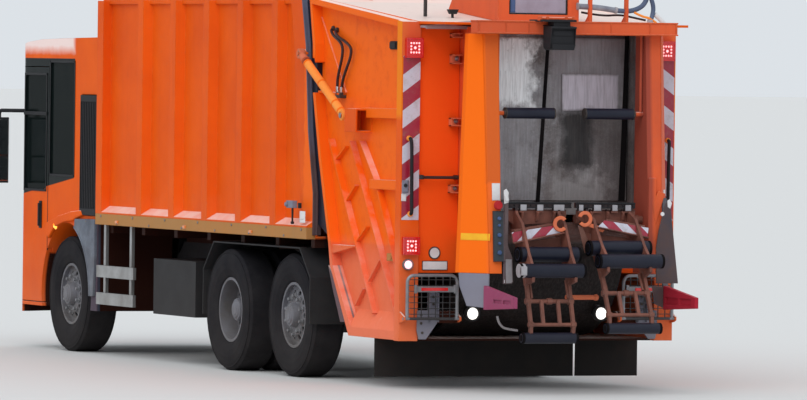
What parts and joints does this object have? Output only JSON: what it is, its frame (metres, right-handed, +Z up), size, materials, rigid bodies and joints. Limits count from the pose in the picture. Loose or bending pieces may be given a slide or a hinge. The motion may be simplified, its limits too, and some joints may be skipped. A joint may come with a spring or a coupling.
{
  "type": "refuse collection truck",
  "caption": "Three-axle rear-loading refuse truck with a low-entry cab, ribbed body, lifting tailgate and a split bin lifter.",
  "frame": {"origin": "on the floor, at the middle of the vehicle's length and width", "axes": "+X forward, +Y left, +Z up"},
  "size_m": [11.21, 2.94, 3.4198],
  "materials": {
    "orange_paint": "semi-gloss orange, dusty",
    "chassis_black": "satin black",
    "cab_orange": "gloss orange",
    "tyre_rubber": "matt black",
    "wheel_steel": "grey paint",
    "glass_dark": "tinted glass",
    "lamp_clear": "clear lens",
    "lamp_red": "red lens",
    "black_plastic": "textured black",
    "guard_aluminium": "brushed",
    "steel_worn": "worn bare steel",
    "rail_ochre": "dusty ochre band",
    "grey_paint": "satin grey",
    "guard_red": "faded red",
    "rubber_black": "smooth black rubber",
    "lifter_brown": "rusty brown",
    "hose_rubber": "hose",
    "seat_fabric": "grey cloth",
    "cylinder_paint": "orange yellow",
    "rod_chrome": "polished",
    "galvanised": "galvanised"
  },
  "bodies": {
    "chassis": {"chassis_frame": "chassis_black", "front_axle": "chassis_black", "drive_axle": "chassis_black", "tag_axle": "chassis_black", "engine_block": "steel_worn", "side_tanks": "black_plastic", "side_guards": "guard_aluminium", "mudguards": "black_plastic", "cab_shell": "cab_orange", "cab_glass": "glass_dark", "front_bumper": "cab_orange", "headlamps": "lamp_clear", "mirrors": "black_plastic", "intake_stack": "black_plastic", "seats": "seat_fabric", "dashboard": "black_plastic", "body_shell": "orange_paint", "body_rails": "rail_ochre"},
    "tailgate": {"tailgate_shell": "orange_paint", "hopper_shell": "steel_worn", "hopper_portal": "orange_paint", "packer_plate": "steel_worn", "bin_stop_bars": "rubber_black", "camera_box": "black_plastic", "roof_housing": "orange_paint", "lift_hoses": "hose_rubber", "rear_lamps": "lamp_red", "bracket_plates": "grey_paint", "lamp_guards": "guard_red", "rubber_flaps": "rubber_black", "tailgate_seal": "rubber_black"},
    "barrel_left": {"lift_barrel_left": "cylinder_paint"},
    "rod_left": {"lift_rod_left": "rod_chrome"},
    "barrel_right": {"lift_barrel_right": "cylinder_paint"},
    "rod_right": {"lift_rod_right": "rod_chrome"},
    "door_left": {"door_left": "cab_orange", "door_glass_left": "glass_dark"},
    "footboard_left": {"footboard_left": "galvanised"},
    "lifter_left": {"lifter_left": "lifter_brown", "lifter_rollers_left": "rubber_black"},
    "door_right": {"door_right": "cab_orange", "door_glass_right": "glass_dark"},
    "footboard_right": {"footboard_right": "galvanised"},
    "lifter_right": {"lifter_right": "lifter_brown", "lifter_rollers_right": "rubber_black"},
    "knuckle_left": {"knuckle_left": "chassis_black"},
    "knuckle_right": {"knuckle_right": "chassis_black"},
    "wheel_front_left": {"tyre_front_left": "tyre_rubber", "rim_front_left": "wheel_steel"},
    "wheel_front_right": {"tyre_front_right": "tyre_rubber", "rim_front_right": "wheel_steel"},
    "wheel_drive_left": {"tyre_drive_left": "tyre_rubber", "rim_drive_left": "wheel_steel"},
    "wheel_drive_right": {"tyre_drive_right": "tyre_rubber", "rim_drive_right": "wheel_steel"},
    "wheel_tag_left": {"tyre_tag_left": "tyre_rubber", "rim_tag_left": "wheel_steel"},
    "wheel_tag_right": {"tyre_tag_right": "tyre_rubber", "rim_tag_right": "wheel_steel"}
  },
  "joints": [
    {"name": "tailgate_lift", "type": "hinge", "parent": "chassis", "child": "tailgate", "pos_m": [-1.875, 0, 3.33], "axis": [0, 1, 0], "range_deg": [0, 80]},
    {"name": "barrel_pivot_left", "type": "hinge", "parent": "tailgate", "child": "barrel_left", "pos_m": [-2.875, 1.243, 2.28], "axis": [0, 1, 0], "range_deg": [-4.33, 0]},
    {"name": "rod_slide_left", "type": "slide", "parent": "barrel_left", "child": "rod_left", "axis": [0.8853, 0, 0.465], "range_m": [0, 0.6868]},
    {"name": "barrel_pivot_right", "type": "hinge", "parent": "tailgate", "child": "barrel_right", "pos_m": [-2.875, -1.243, 2.28], "axis": [0, 1, 0], "range_deg": [-4.33, 0]},
    {"name": "rod_slide_right", "type": "slide", "parent": "barrel_right", "child": "rod_right", "axis": [0.8853, 0, 0.465], "range_m": [0, 0.6868]},
    {"name": "door_left_hinge", "type": "hinge", "parent": "chassis", "child": "door_left", "pos_m": [5.219, 1.204, 1.54], "axis": [0, 0, -1], "range_deg": [0, 75]},
    {"name": "footboard_left_fold", "type": "hinge", "parent": "tailgate", "child": "footboard_left", "pos_m": [-4.255, 0.99, 0.6], "axis": [0, -1, 0], "range_deg": [0, 90]},
    {"name": "lifter_left_swing", "type": "hinge", "parent": "tailgate", "child": "lifter_left", "pos_m": [-4.815, 0.33, 1.45], "axis": [0, 1, 0], "range_deg": [0, 110]},
    {"name": "door_right_hinge", "type": "hinge", "parent": "chassis", "child": "door_right", "pos_m": [5.219, -1.204, 1.54], "axis": [0, 0, 1], "range_deg": [0, 75]},
    {"name": "footboard_right_fold", "type": "hinge", "parent": "tailgate", "child": "footboard_right", "pos_m": [-4.255, -0.99, 0.6], "axis": [0, -1, 0], "range_deg": [0, 90]},
    {"name": "lifter_right_swing", "type": "hinge", "parent": "tailgate", "child": "lifter_right", "pos_m": [-4.815, -0.33, 1.45], "axis": [0, 1, 0], "range_deg": [0, 100]},
    {"name": "steer_left", "type": "hinge", "parent": "chassis", "child": "knuckle_left", "pos_m": [3.99, 0.85, 0.535], "axis": [0, 0, 1], "range_deg": [-32, 32]},
    {"name": "steer_right", "type": "hinge", "parent": "chassis", "child": "knuckle_right", "pos_m": [3.99, -0.85, 0.535], "axis": [0, 0, 1], "range_deg": [-32, 32]},
    {"name": "wheel_front_left_spin", "type": "hinge", "parent": "knuckle_left", "child": "wheel_front_left", "pos_m": [3.99, 1.03, 0.535], "axis": [0, 1, 0], "continuous": true},
    {"name": "wheel_front_right_spin", "type": "hinge", "parent": "knuckle_right", "child": "wheel_front_right", "pos_m": [3.99, -1.03, 0.535], "axis": [0, 1, 0], "continuous": true},
    {"name": "wheel_drive_left_spin", "type": "hinge", "parent": "chassis", "child": "wheel_drive_left", "pos_m": [-0.21, 1.03, 0.535], "axis": [0, 1, 0], "continuous": true},
    {"name": "wheel_drive_right_spin", "type": "hinge", "parent": "chassis", "child": "wheel_drive_right", "pos_m": [-0.21, -1.03, 0.535], "axis": [0, 1, 0], "continuous": true},
    {"name": "wheel_tag_left_spin", "type": "hinge", "parent": "chassis", "child": "wheel_tag_left", "pos_m": [-1.56, 1.03, 0.535], "axis": [0, 1, 0], "continuous": true},
    {"name": "wheel_tag_right_spin", "type": "hinge", "parent": "chassis", "child": "wheel_tag_right", "pos_m": [-1.56, -1.03, 0.535], "axis": [0, 1, 0], "continuous": true}
  ],
  "couplings": [
    {"joint": "barrel_pivot_left", "follows": "tailgate_lift", "ratio": -0.053},
    {"joint": "rod_slide_left", "follows": "tailgate_lift", "m_per_rad": 0.48227},
    {"joint": "barrel_pivot_right", "follows": "tailgate_lift", "ratio": -0.053},
    {"joint": "rod_slide_right", "follows": "tailgate_lift", "m_per_rad": 0.48227},
    {"joint": "steer_right", "follows": "steer_left", "ratio": 1}
  ]
}
